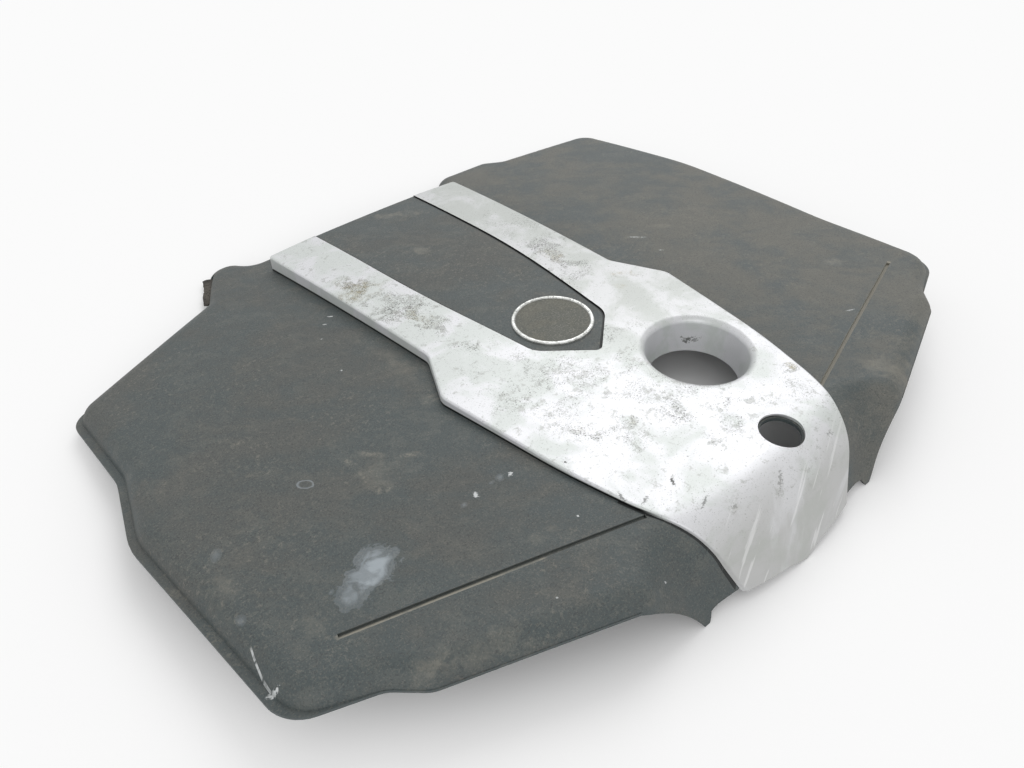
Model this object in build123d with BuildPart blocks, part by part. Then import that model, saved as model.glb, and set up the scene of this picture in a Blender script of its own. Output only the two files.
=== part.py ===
from build123d import *
from math import acos, asin, atan2, cos, degrees, radians, sin, sqrt, tan
import os

os.makedirs("parts", exist_ok=True)

# Engine cover: a domed plastic shell with a silver wishbone trim, a plain round badge, rubber mounts
# on pegs and foam under the side panels. X is sideways, -Y is the nose, +Z is up, and the cover lies
# on Z = 0 with the middle of its box over the origin.

# Overall plan
cover_width = 730.0
cover_length = 607.0
half_width = cover_width / 2
y_front = -cover_length / 2
rear_tuck = 0.7
y_rear = cover_length / 2 + rear_tuck

# Reach of the tool bodies below the floor and above the cover
deep = 60.0
tall = 140.0

# A face counts as upward when its normal rises at least this much, and two faces as a crease when they
# meet at more than this angle
upward = 0.2
crease_angle = 5.0

# Shell walls and edges
shell_wall = 3.0
skirt_depth = 15.5
roll_radius = 17.0
lip_width = 6.0
lip_thickness = 2.5

# Side panels: one long arc from nose to rear, falling a little towards each side
panel_crown_radius = 4180.0
panel_crest_ahead = 51.0
panel_crest_z = 62.9
panel_side_drop = 8.0
panel_reach = half_width + 20.0
panel_crest_y = y_front - panel_crest_ahead

# Plan of the shell, as distances from the sides, the nose and the rear edge
left_flare_from_front = 302.0
left_flare_run = 70.0
left_flare_radius = 60.0
left_flare = 19.0
right_bulge_from_front = 417.0
right_waist_from_front = 227.0
right_waist = 16.0
right_side_radius = 300.0
side_taper = 13.0
front_corner_from_front = 113.0
front_corner_radius = roll_radius + 13.0
notch_half = 297.0
notch_from_front = 92.0
notch_run = 20.0
notch_step = 19.0
small_corner_radius = roll_radius + 4.0
hollow_corner_radius = 12.0
tab_half = 103.0
tab_from_front = 11.0
tab_radius = 60.0
ledge_half = 118.0
ledge_setback = 23.0
ledge_run = 14.0
right_bump_half = 200.0
right_step = 15.0
right_step_run = 20.0
right_corner_setback = 29.0
right_corner_inset = 9.0
rear_corner_radius = roll_radius + 11.0
left_bump_half = 160.0
left_step = 60.0
left_step_run = 28.0
left_corner_setback = 136.0

# Trim: a cap with a rolled nose
trim_wall = 2.5
fit_gap = 0.3
trim_crown_radius = 3546.0
trim_crest_from_front = 99.0
trim_crest_z = 65.0
trim_side_drop = 3.4
trim_reach = 150.0
trim_edge_radius = 1.8
trim_crest_y = y_front + trim_crest_from_front
nose_radius = 42.0
nose_slope = 67.0
nose_setback = 32.0
nose_run = 50.0
nose_ceiling = 90.0
sole_knee_half = 18.0
sole_knee_rise = 4.4
sole_end_rise = 14.0

# Plan of the trim
trim_corner_half = 48.0
trim_corner_ahead = 5.0
trim_cheek_half = 77.4
trim_cheek_from_front = 28.0
trim_front_half = 99.6
trim_front_from_front = 74.0
trim_middle_half = 114.4
trim_middle_from_front = 139.0
trim_wide_half = 129.5
trim_wide_from_front = 255.0
bar_kink_half = 105.5
bar_kink_from_front = 304.0
bar_rear_half = 115.5
bar_setback = 51.0
bar_slant = 4.5
trim_corner_radius = 4.0
kink_radius = 16.0
trim_middle_radius = 500.0
trim_front_radius = 160.0
trim_cheek_radius = 70.0
trim_tip_ahead = 9.0
trim_tip_radius = 160.0

# Centre panel between the bars, with its badge
badge_from_front = 269.0
badge_y = y_front + badge_from_front
island_sink = 1.2
island_gap = 0.7
island_rear_half = 63.5
island_waist_half = 57.5
island_waist_from_front = 382.0
island_shoulder_half = 41.0
island_shoulder_from_front = 247.0
island_nose_from_front = 211.0
island_waist_radius = 1200.0
island_shoulder_radius = 22.0
island_nose_radius = 6.0
badge_radius = 35.0
badge_ring_width = 3.4
badge_ring_height = 3.2
badge_disc_height = 2.2
badge_pocket = 1.2
badge_gap = 0.1
badge_ring_chamfer = 0.8

# Front tabs of the shell beside the trim's nose
tab_sink = trim_wall
tab_open_angle = 14.0
wing_rise_out = 1.1
wing_rise_back = 0.8
wing_foot = 3.0
wing_valley_radius = 35.0
wing_ridge_radius = 18.0
tab_edge_half = 62.0
tab_edge_rise = 10.0
tab_foot_half = 94.0
tab_foot_run = 4.0
tab_foot_rise = 6.0
arch_foot_half = 99.0
arch_middle_half = 118.0
arch_middle_rise = 24.0
arch_top_half = 150.0
arch_top_rise = 45.0
arch_run = 70.0

# Filler well and small hole in the trim
well_x = 59.0
well_from_front = 161.0
well_y = y_front + well_from_front
well_top_radius = 43.0
well_bottom_radius = 38.0
well_depth = 33.0
well_rim_radius = 6.0
well_clearance = 1.0
hole_x = 31.0
hole_from_front = 60.0
hole_y = y_front + hole_from_front
hole_radius = 17.0
hole_lip = 1.6

# Long groove on each panel
groove_width = 3.0
groove_depth = 2.0
groove_outer_half = 301.0
groove_outer_from_front = 133.3
groove_inner_half = 100.0
groove_inner_from_front = 72.0

# Staked posts of the trim and their bosses under the shell
post_radius = 3.0
post_gap = 0.25
post_head_radius = 5.5
post_head = 2.0
post_boss_radius = 6.5
post_boss = 3.0
post_places = [
    (sign * half, y_front + from_front)
    for half, from_front in ((92.0, 500.0), (86.0, 350.0), (108.0, 215.0), (72.0, 92.0))
    for sign in (-1, 1)
]

# Rubber mounts on pegs under the side panels
peg_radius = 6.0
peg_length = 11.0
mount_radius = 11.0
mount_edge_radius = 1.5
mount_grip = 7.0
mount_height = 20.0
mount_gap = 0.15
socket_radius = 4.2
socket_throat = 4.0
socket_ball_radius = 5.0
mount_places = {
    "front_left": (-170.0, y_front + 165.0),
    "front_right": (170.0, y_front + 165.0),
    "rear_left": (-145.0, y_rear - 148.0),
    "rear_right": (145.0, y_rear - 148.0),
}

# Foam under the side panels, with a tongue that pokes out at the left rear step
foam_thickness = 9.0
foam_inner_half = 185.0
foam_outer_setback = 45.0
foam_front_from_front = 150.0
foam_rear_setback = 58.0
foam_edge_gap = 14.0
foam_diagonal_gap = 27.0
foam_strip_inset = 17.0
foam_strip_width = 22.0
foam_strip_rear = 15.0
foam_strip_front = 85.0
foam_tongue_out = 7.0
foam_tongue_in = 28.0
foam_tongue_length = 50.0
foam_tongue_low = 0.6
foam_tongue_top = 8.0
foam_slot_gap = 1.0


def fall(radius, run):
    """How far an arc drops below its crest."""
    return radius - sqrt(radius**2 - run**2)


def panel_z(x, y):
    """Height of the side panel's crown."""
    side = panel_side_drop * (x / panel_reach) ** 2
    return panel_crest_z - side - fall(panel_crown_radius, y - panel_crest_y)


def trim_z(x, y):
    """Height of the trim's crown behind the nose."""
    side = trim_side_drop * (x / trim_reach) ** 2
    return trim_crest_z - side - fall(trim_crown_radius, y - trim_crest_y)


def nose_start(share):
    """Where the trim's crown turns into its nose, so that the tip ends at the cover's front."""
    tilt, start = 0.0, 0.0
    for _ in range(3):
        slope = tilt + radians(nose_slope)
        straight = trim_crest_z - fall(trim_crown_radius, trim_crown_radius * sin(tilt))
        straight -= nose_radius * (cos(tilt) - cos(slope))
        start = y_front + nose_radius * (sin(slope) - sin(tilt)) + straight / tan(slope)
        tilt = asin((trim_crest_y - start) / trim_crown_radius)
    return start + nose_setback * share


def panel_block(inset):
    """Everything under the panel crown, lowered by inset."""
    radius = panel_crown_radius
    rear = degrees(acos((y_rear + deep - panel_crest_y) / radius))
    front = degrees(acos((y_front - deep - panel_crest_y) / radius))
    with BuildPart() as block:
        for x in (-panel_reach, 0, panel_reach):
            with BuildSketch(Plane.YZ.offset(x)):
                with BuildLine():
                    crest = panel_z(x, panel_crest_y)
                    crown = CenterArc((panel_crest_y, crest - radius), radius - inset, rear, front - rear)
                    Polyline(crown @ 1, ((crown @ 1).X, -deep), ((crown @ 0).X, -deep), crown @ 0)
                make_face()
        loft()
    return block.part


def nose_arc(x, inset, opening):
    """The trim's nose in a side view: its crown centre, start angle and the arc from opening on."""
    share = (x / trim_reach) ** 2
    start = degrees(acos((nose_start(share) - trim_crest_y) / trim_crown_radius))
    centre = Vector(trim_crest_y, trim_z(x, trim_crest_y) - trim_crown_radius)
    pole = Vector(cos(radians(start)), sin(radians(start)))
    roll = centre + pole * (trim_crown_radius - nose_radius)
    arc = CenterArc(roll, nose_radius - inset, start + opening, nose_slope - opening)
    return centre, start, arc


def trim_block(inset):
    """Everything under the trim's crown and rolled nose, brought in by inset."""
    rear = degrees(acos((y_rear + deep - trim_crest_y) / trim_crown_radius))
    with BuildPart() as block:
        for x in (-trim_reach, 0, trim_reach):
            with BuildSketch(Plane.YZ.offset(x)):
                with BuildLine():
                    centre, start, nose = nose_arc(x, inset, 0)
                    crown = CenterArc(centre, trim_crown_radius - inset, rear, start - rear)
                    toe = nose @ 1 + (nose % 1) * (((nose @ 1).Y + deep) / -(nose % 1).Y)
                    Polyline(nose @ 1, toe, ((crown @ 0).X, -deep), crown @ 0)
                make_face()
        loft()
    return block.part


def wing(side, inset):
    """Everything under the slanted face that runs from a front tab up to the panel."""
    normal = Vector(-side * wing_rise_out, -wing_rise_back, 1).normalized()
    foot = Vector(side * tab_half, y_front + tab_from_front, wing_foot) - normal * inset
    with BuildPart() as wedge:
        with BuildSketch(Plane(foot, z_dir=normal)):
            Rectangle(cover_width, cover_width)
        extrude(amount=-cover_length)
    return wedge.part


def nose_air(inset):
    """The open space in front of the shell's nose and tabs."""
    with BuildPart() as air:
        for x in (-trim_reach, 0, trim_reach):
            with BuildSketch(Plane.YZ.offset(x)):
                with BuildLine():
                    nose = nose_arc(x, tab_sink + inset, tab_open_angle)[2]
                    toe = nose @ 1 + (nose % 1) * (((nose @ 1).Y + deep) / -(nose % 1).Y)
                    head = nose @ 0 - (nose % 0) * ((nose_ceiling - (nose @ 0).Y) / -(nose % 0).Y)
                    corner = (y_front - deep, nose_ceiling)
                    Polyline(nose @ 1, toe, (y_front - deep, -deep), corner, head, nose @ 0)
                make_face()
        loft()
        add([wing(1, inset), wing(-1, inset)], mode=Mode.SUBTRACT)
        fillet(creases(air.part, inside_edges(air.edges(Select.LAST))), wing_valley_radius + inset)
    return air.part


def inside_edges(edges):
    """The edges that don't lie in the outer faces of the space in front of the nose."""

    def inside(edge):
        middle = edge @ 0.5
        level = -deep + 1 < middle.Z < nose_ceiling - 1
        return level and middle.Y > y_front - deep + 1 and abs(middle.X) < trim_reach - 1

    return edges.filter_by(inside)


def creases(part, edges):
    """Those of a part's edges where its faces meet at an angle."""
    faces = part.faces()

    def crease(edge):
        sides = [face for face in faces if any(edge.is_same(other) for other in face.edges())]
        normals = [face.normal_at(edge @ 0.5) for face in sides]
        return len(sides) == 2 and normals[0].get_angle(normals[1]) > crease_angle

    return edges.filter_by(crease)


def shell_plan(side_inset):
    """Points and corner radii of the shell's plan, right side first, from the rear ledge."""
    side = half_width - side_inset
    notch_y = y_front + notch_from_front
    flare_y = y_front + left_flare_from_front
    ledge = ((ledge_half, y_rear - ledge_setback), hollow_corner_radius)
    bump = ((ledge_half + ledge_run, y_rear), small_corner_radius)
    right = [
        ledge,
        bump,
        ((right_bump_half, y_rear), small_corner_radius),
        ((right_bump_half + right_step_run, y_rear - right_step), hollow_corner_radius),
        ((side - right_corner_inset, y_rear - right_corner_setback), rear_corner_radius),
        ((side, y_front + right_bulge_from_front), right_side_radius),
        ((side - right_waist, y_front + right_waist_from_front), right_side_radius),
    ]
    front = [
        ((side - side_taper, y_front + front_corner_from_front), front_corner_radius),
        ((notch_half, notch_y), small_corner_radius),
        ((notch_half - notch_run, notch_y - notch_step), small_corner_radius),
        ((tab_half, y_front + tab_from_front), tab_radius),
    ]
    left = [
        ((side, flare_y), left_flare_radius),
        ((side - left_flare, flare_y + left_flare_run), left_flare_radius),
        ((side - left_flare, y_rear - left_corner_setback), small_corner_radius),
        ((left_bump_half + left_step_run, y_rear - left_step), hollow_corner_radius),
        ((left_bump_half, y_rear), small_corner_radius),
        bump,
        ledge,
    ]
    return right + front + mirrored(front[::-1] + left)


def mirrored(plan):
    """A run of plan points on the other side of the cover."""
    return [((-x, y), radius) for (x, y), radius in plan]


def trim_plan():
    """Points and corner radii of the trim's outer plan."""
    right = [
        ((bar_rear_half, y_rear - bar_setback - bar_slant), trim_corner_radius),
        ((bar_kink_half, y_front + bar_kink_from_front), kink_radius),
        ((trim_wide_half, y_front + trim_wide_from_front), kink_radius),
        ((trim_middle_half, y_front + trim_middle_from_front), trim_middle_radius),
        ((trim_front_half, y_front + trim_front_from_front), trim_front_radius),
        ((trim_cheek_half, y_front + trim_cheek_from_front), trim_cheek_radius),
        ((trim_corner_half, y_front - trim_corner_ahead), trim_corner_radius),
    ]
    tail = ((0, y_rear - bar_setback), 0)
    tip = ((0, y_front - trim_tip_ahead), trim_tip_radius)
    return [tail] + right + [tip] + mirrored(right[::-1])


def island_plan(rear_y):
    """Points and corner radii of the centre panel, which runs back to rear_y."""
    waist_y = y_front + island_waist_from_front
    spread = (island_rear_half - island_waist_half) / (y_rear - waist_y)
    right = [
        ((island_waist_half + spread * (rear_y - waist_y), rear_y), 0),
        ((island_waist_half, waist_y), island_waist_radius),
        ((island_shoulder_half, y_front + island_shoulder_from_front), island_shoulder_radius),
    ]
    nose = ((0, y_front + island_nose_from_front), island_nose_radius)
    return right + [nose] + mirrored(right[::-1])


def plan_solid(plan, grow=0.0):
    """A tall prism over a rounded outline, grown or shrunk in plan."""
    with BuildPart() as prism:
        with BuildSketch(Plane.XY.offset(-deep)):
            with BuildLine():
                FilletPolyline(*[point for point, _ in plan], radius=[r for _, r in plan], close=True)
            make_face()
            if grow:
                offset(amount=grow, mode=Mode.REPLACE)
        extrude(amount=deep + tall)
    return prism.part


def turned(x, y, stations):
    """A body turned about an upright axis from (radius, height) stations, lowest first."""
    with BuildPart() as body:
        with BuildSketch(Plane.XZ.offset(-y)):
            with BuildLine():
                points = [(x + r, z) for r, z in stations]
                Polyline((x, stations[0][1]), *points, (x, stations[-1][1]), close=True)
            make_face()
        revolve(axis=Axis((x, y, 0), (0, 0, 1)))
    return body.part


def rim(part):
    """The edges round a part's upward faces, leaving out those between two such faces."""
    edges = part.faces().filter_by(lambda face: face.normal_at().Z > upward).edges()
    return ShapeList(e for e in edges if sum(e.is_same(other) for other in edges) == 1)


# Domed side panels, raised plateau and centre panel, each as an outside and an inside form
shell_outline = shell_plan(lip_width)


def panel_form(inset):
    """The domed panels with rolled edges and the nose taken off, brought in by inset."""
    outline = plan_solid(shell_outline, -inset)
    crown = panel_block(inset)
    air = nose_air(inset)
    with BuildPart() as form:
        add(outline)
        add(crown, mode=Mode.INTERSECT)
        fillet(form.faces().sort_by(Axis.Z)[-1].edges(), roll_radius - inset)
        add(air, mode=Mode.SUBTRACT)
        fillet(creases(form.part, form.edges(Select.LAST)), wing_ridge_radius - inset)
    return form.part


def under_panel(inset):
    """Everything under the panels and tabs, lowered by inset, out past the outline."""
    crown = panel_block(inset)
    air = nose_air(inset)
    with BuildPart() as form:
        add(crown)
        add(air, mode=Mode.SUBTRACT)
    return form.part


def capped_form(plan, grow, inset):
    """A prism over a plan, closed on top by the trim's crown brought in by inset."""
    outline = plan_solid(plan, grow)
    crown = trim_block(inset)
    with BuildPart() as form:
        add(outline)
        add(crown, mode=Mode.INTERSECT)
    return form.part


cap = trim_wall + fit_gap
panel_outer = panel_form(0)
panel_inner = panel_form(shell_wall)
plateau_outer = capped_form(trim_plan(), -cap, cap)
plateau_inner = capped_form(trim_plan(), -cap - shell_wall, cap + shell_wall)
island_outer = capped_form(island_plan(y_rear - bar_setback - trim_wall), -island_gap, island_sink)
skirt_cut = under_panel(skirt_depth)

with BuildPart() as recess:
    add(plan_solid(trim_plan(), fit_gap))
    add(trim_block(cap), mode=Mode.SUBTRACT)

with BuildPart() as lip:
    add(plan_solid(shell_plan(0)))
    add(under_panel(skirt_depth - lip_thickness), mode=Mode.INTERSECT)
    add(plan_solid(shell_outline, -shell_wall), mode=Mode.SUBTRACT)

# Grooves, open upwards, along the front of each panel
with BuildPart() as grooves:
    with BuildSketch():
        for side in (-1, 1):
            with BuildLine():
                outer_end = (side * groove_outer_half, y_front + groove_outer_from_front)
                inner_end = (side * groove_inner_half, y_front + groove_inner_from_front)
                Line(outer_end, inner_end)
            trace(line_width=groove_width)
    extrude(amount=tall)
    add(panel_block(groove_depth), mode=Mode.SUBTRACT)

# Openings under the front edge: an arch beside each tab, and the gap between the tabs
with BuildPart() as front_cuts:
    with BuildSketch(Plane.XZ.offset(-y_front - arch_run)):
        for side in (-1, 1):
            with BuildLine():
                foot = (side * arch_foot_half, 0)
                top = (side * arch_top_half, arch_top_rise)
                ThreePointArc(foot, (side * arch_middle_half, arch_middle_rise), top)
                Polyline(top, (side * arch_top_half, -deep), (side * arch_foot_half, -deep), foot)
            make_face()
        with BuildLine():
            right_edge = [
                (tab_edge_half, tab_edge_rise),
                (tab_foot_half - tab_foot_run, tab_foot_rise),
                (tab_foot_half, 0),
                (tab_foot_half, -deep),
            ]
            Polyline(*right_edge, *[(-x, z) for x, z in right_edge[::-1]], close=True)
        make_face()
    extrude(amount=arch_run + deep)

# Open space under the trim's nose edge, which rises to both sides of its tip
with BuildPart() as nose_sole:
    with BuildSketch(Plane.XZ.offset(-y_front - nose_run)):
        with BuildLine():
            right_sole = [
                (sole_knee_half, sole_knee_rise),
                (trim_reach, sole_end_rise),
                (trim_reach, -deep),
            ]
            Polyline((0, 0), *right_sole, *[(-x, z) for x, z in right_sole[::-1]], close=True)
        make_face()
    extrude(amount=nose_run + deep)

# The badge lies square to the crown of the centre panel
badge_tilt = asin((badge_y - trim_crest_y) / trim_crown_radius)
badge_normal = Vector(0, sin(badge_tilt), cos(badge_tilt))
crown_centre = Vector(0, trim_crest_y, trim_crest_z - trim_crown_radius)
badge_plane = Plane(
    crown_centre + badge_normal * (trim_crown_radius - island_sink - badge_pocket),
    x_dir=(1, 0, 0),
    z_dir=badge_normal,
)


# Staked posts of the trim, with bosses under the shell that their heads close on


def post_seat(x, y):
    """Height of the flat boss face that a post's head closes on."""
    return trim_z(x, y) - cap - shell_wall - post_boss


def posts_and_bosses(radius, top_inset):
    """Upright round bodies at every post, from its seat to top_inset under the trim."""
    with BuildPart() as bodies:
        for x, y in post_places:
            low = post_seat(x, y)
            with BuildSketch(Plane.XY.offset(low)):
                with Locations((x, y)):
                    Circle(radius)
            extrude(amount=trim_z(x, y) - top_inset - low)
    return bodies.part


post_bosses = posts_and_bosses(post_boss_radius, cap + shell_wall / 2)
with BuildPart() as posts:
    add(posts_and_bosses(post_radius, trim_wall / 2))
    for x, y in post_places:
        with BuildSketch(Plane.XY.offset(post_seat(x, y))):
            with Locations((x, y)):
                Circle(post_head_radius)
        extrude(amount=-post_head)

# Pegs for the rubber mounts
with BuildPart() as pegs:
    for x, y in mount_places.values():
        low = panel_z(x, y) - shell_wall - peg_length
        with BuildSketch(Plane.XY.offset(low)):
            with Locations((x, y)):
                Circle(peg_radius)
        extrude(amount=peg_length + shell_wall / 2)

# Middle of the slanted wall at the left rear step, with X pointing out of it
step_plane = Plane(
    (-left_bump_half - left_step_run / 2, y_rear - left_step / 2, 0),
    x_dir=(-left_step, left_step_run, 0),
)

# Shell
well_z = trim_z(well_x, well_y)
with BuildPart() as cover_shell:
    add([panel_outer, plateau_outer])
    add(recess.part, mode=Mode.SUBTRACT)
    add([island_outer, lip.part])
    add([panel_inner, plateau_inner, skirt_cut, grooves.part, front_cuts.part], mode=Mode.SUBTRACT)
    add([post_bosses, pegs.part])
    with BuildSketch(badge_plane):
        Circle(badge_radius + badge_gap)
    extrude(amount=badge_pocket + island_sink, mode=Mode.SUBTRACT)
    with BuildSketch(Plane.XY.offset(-deep)):
        with Locations((well_x, well_y)):
            Circle(well_top_radius + well_rim_radius + well_clearance)
        with Locations((hole_x, hole_y)):
            Circle(hole_radius - hole_lip)
        with Locations(*post_places):
            Circle(post_radius + post_gap)
    extrude(amount=deep + tall, mode=Mode.SUBTRACT)
    with BuildSketch():
        Rectangle(2 * cover_width, 2 * cover_length)
    extrude(amount=-deep, mode=Mode.SUBTRACT)
    with BuildSketch(step_plane.offset(-deep)):
        Rectangle(2 * foam_strip_inset, foam_tongue_length + 2 * foam_slot_gap)
    extrude(amount=deep + foam_tongue_top + foam_slot_gap, mode=Mode.SUBTRACT)


# Trim: a capped outside form less the same form brought in by the wall


def trim_form(inset):
    """The trim's outside with its well, brought in by inset."""
    cone_wall = inset / cos(atan2(well_top_radius - well_bottom_radius, well_depth))
    bottom = well_z - well_depth
    slope = (well_top_radius - well_bottom_radius) / well_depth
    stations = [
        (well_bottom_radius + cone_wall, bottom),
        (well_bottom_radius + cone_wall + slope * 2 * well_depth, bottom + 2 * well_depth),
    ]
    cone = turned(well_x, well_y, stations)
    form = capped_form(trim_plan(), -inset, inset)
    with BuildPart() as body:
        add(form)
        if not inset:
            fillet(rim(body.part), trim_edge_radius)
        add(cone, mode=Mode.SUBTRACT)
        fillet(body.edges(Select.LAST).sort_by(Axis.Z)[-1], well_rim_radius - inset)
    return body.part


trim_outer = trim_form(0)
trim_inner = trim_form(trim_wall)
with BuildPart() as trim_foot:
    add(under_panel(-fit_gap))
    add(trim_block(trim_wall), mode=Mode.INTERSECT)
    with BuildSketch(Plane.XY.offset(-deep)):
        with Locations((well_x, well_y)):
            Circle(well_top_radius + well_rim_radius)
    extrude(amount=deep + tall, mode=Mode.SUBTRACT)
island_gap_body = plan_solid(island_plan(y_rear))
with BuildPart() as silver_trim:
    add(trim_outer)
    add([trim_inner, trim_foot.part, nose_sole.part, island_gap_body], mode=Mode.SUBTRACT)
    add(posts.part)
    with BuildSketch(Plane.XY.offset(-deep)):
        with Locations((hole_x, hole_y)):
            Circle(hole_radius)
        with Locations((well_x, well_y)):
            Circle(well_bottom_radius)
    extrude(amount=deep + tall, mode=Mode.SUBTRACT)

# Badge: a plain ring round a plain disc, both on the pocket's floor
with BuildPart() as badge_ring:
    with BuildSketch(badge_plane):
        Circle(badge_radius)
        Circle(badge_radius - badge_ring_width, mode=Mode.SUBTRACT)
    extrude(amount=badge_ring_height)
    chamfer(badge_ring.faces().sort_by(Axis.Z)[-1].edges(), badge_ring_chamfer)

with BuildPart() as badge_disc:
    with BuildSketch(badge_plane):
        Circle(badge_radius - badge_ring_width - badge_gap)
    extrude(amount=badge_disc_height)

pieces = {
    "cover_shell": cover_shell,
    "silver_trim": silver_trim,
    "badge_ring": badge_ring,
    "badge_disc": badge_disc,
}

# Rubber mounts: cups that grip the pegs, each with a socket for a ball stud
for place, (x, y) in mount_places.items():
    peg_end = panel_z(x, y) - shell_wall - peg_length
    low = peg_end + mount_grip - mount_height
    ball_z = low + socket_throat + sqrt(socket_ball_radius**2 - socket_radius**2)
    with BuildPart() as mount:
        with BuildSketch(Plane.XY.offset(low)):
            with Locations((x, y)):
                Circle(mount_radius)
        extrude(amount=mount_height)
        fillet(mount.edges().group_by(Axis.Z)[0], mount_edge_radius)
        with BuildSketch(Plane.XY.offset(peg_end)):
            with Locations((x, y)):
                Circle(peg_radius + mount_gap)
        extrude(amount=mount_height, mode=Mode.SUBTRACT)
        with BuildSketch(Plane.XY.offset(low)):
            with Locations((x, y)):
                Circle(socket_radius)
        extrude(amount=socket_throat, mode=Mode.SUBTRACT)
        with Locations((x, y, ball_z)):
            Sphere(socket_ball_radius, mode=Mode.SUBTRACT)
    pieces[f"rubber_mount_{place}"] = mount

# Foam mats under the side panels, the left one with a tongue that pokes out at the rear step
foam_top = panel_block(shell_wall + fit_gap)
foam_under = panel_block(shell_wall + fit_gap + foam_thickness)
foam_outer_half = half_width - foam_outer_setback
foam_front_y = y_front + foam_front_from_front

with BuildPart() as foam_mat_right:
    with BuildSketch(Plane.XY.offset(-deep)):
        with BuildLine():
            foam_rear_y = y_rear - foam_rear_setback
            Polyline(
                (foam_inner_half, foam_front_y),
                (foam_outer_half, foam_front_y),
                (foam_outer_half, foam_rear_y),
                (foam_inner_half, foam_rear_y),
                close=True,
            )
        make_face()
    extrude(amount=deep + tall)
    add(foam_top, mode=Mode.INTERSECT)
    add(foam_under, mode=Mode.SUBTRACT)

with BuildPart() as foam_mat_left:
    with BuildSketch(Plane.XY.offset(-deep)):
        with BuildLine():
            Polyline(
                (-foam_inner_half, foam_front_y),
                (-foam_outer_half, foam_front_y),
                (-foam_outer_half, y_rear - left_corner_setback - foam_edge_gap),
                (-foam_inner_half, y_rear - left_step - foam_diagonal_gap),
                close=True,
            )
        make_face()
    with BuildSketch(step_plane.offset(-deep)):
        strip_x = -foam_strip_inset - foam_strip_width / 2
        with Locations((strip_x, (foam_strip_front - foam_strip_rear) / 2)):
            Rectangle(foam_strip_width, foam_strip_rear + foam_strip_front)
    extrude(amount=deep + tall)
    add(foam_top, mode=Mode.INTERSECT)
    add(foam_under, mode=Mode.SUBTRACT)
    with BuildSketch(step_plane.offset(foam_tongue_low)):
        with Locations(((foam_tongue_out - foam_tongue_in) / 2, 0)):
            Rectangle(foam_tongue_out + foam_tongue_in, foam_tongue_length)
    extrude(amount=foam_tongue_top - foam_tongue_low)

pieces["foam_mat_left"] = foam_mat_left
pieces["foam_mat_right"] = foam_mat_right

for name, piece in pieces.items():
    piece.part.label = name
    export_step(piece.part, f"parts/{name}.step")
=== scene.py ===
"""Finishes, foam mats and stage of a weathered engine cover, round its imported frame."""

from math import radians

import bmesh
import bpy
from bpy.props import FloatProperty, FloatVectorProperty, IntProperty, PointerProperty
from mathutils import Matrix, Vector


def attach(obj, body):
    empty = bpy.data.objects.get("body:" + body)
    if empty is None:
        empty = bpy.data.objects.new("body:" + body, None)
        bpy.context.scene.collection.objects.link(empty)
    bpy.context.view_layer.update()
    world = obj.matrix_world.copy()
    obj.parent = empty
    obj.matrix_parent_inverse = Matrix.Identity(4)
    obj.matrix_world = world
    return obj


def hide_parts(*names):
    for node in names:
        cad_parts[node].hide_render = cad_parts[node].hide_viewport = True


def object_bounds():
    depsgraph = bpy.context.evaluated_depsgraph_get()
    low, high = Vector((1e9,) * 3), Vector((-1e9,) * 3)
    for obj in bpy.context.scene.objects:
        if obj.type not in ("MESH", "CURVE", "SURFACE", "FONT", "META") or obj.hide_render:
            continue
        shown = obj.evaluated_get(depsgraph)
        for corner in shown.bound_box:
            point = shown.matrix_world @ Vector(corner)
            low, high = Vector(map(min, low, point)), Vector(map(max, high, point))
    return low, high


bl_info = {
    "name": "Engine cover",
    "version": (1, 0, 0),
    "blender": (4, 5, 0),
    "location": "View3D > Sidebar > Engine cover",
    "description": "Finishes a weathered engine cover and sets its stage",
    "category": "Object",
}

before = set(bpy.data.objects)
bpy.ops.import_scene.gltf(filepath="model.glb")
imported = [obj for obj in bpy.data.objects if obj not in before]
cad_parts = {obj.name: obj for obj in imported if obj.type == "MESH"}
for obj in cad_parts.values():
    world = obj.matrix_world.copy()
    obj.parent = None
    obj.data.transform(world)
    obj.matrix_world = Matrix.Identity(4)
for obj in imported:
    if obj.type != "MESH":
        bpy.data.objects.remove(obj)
CAD_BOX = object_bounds()

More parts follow.
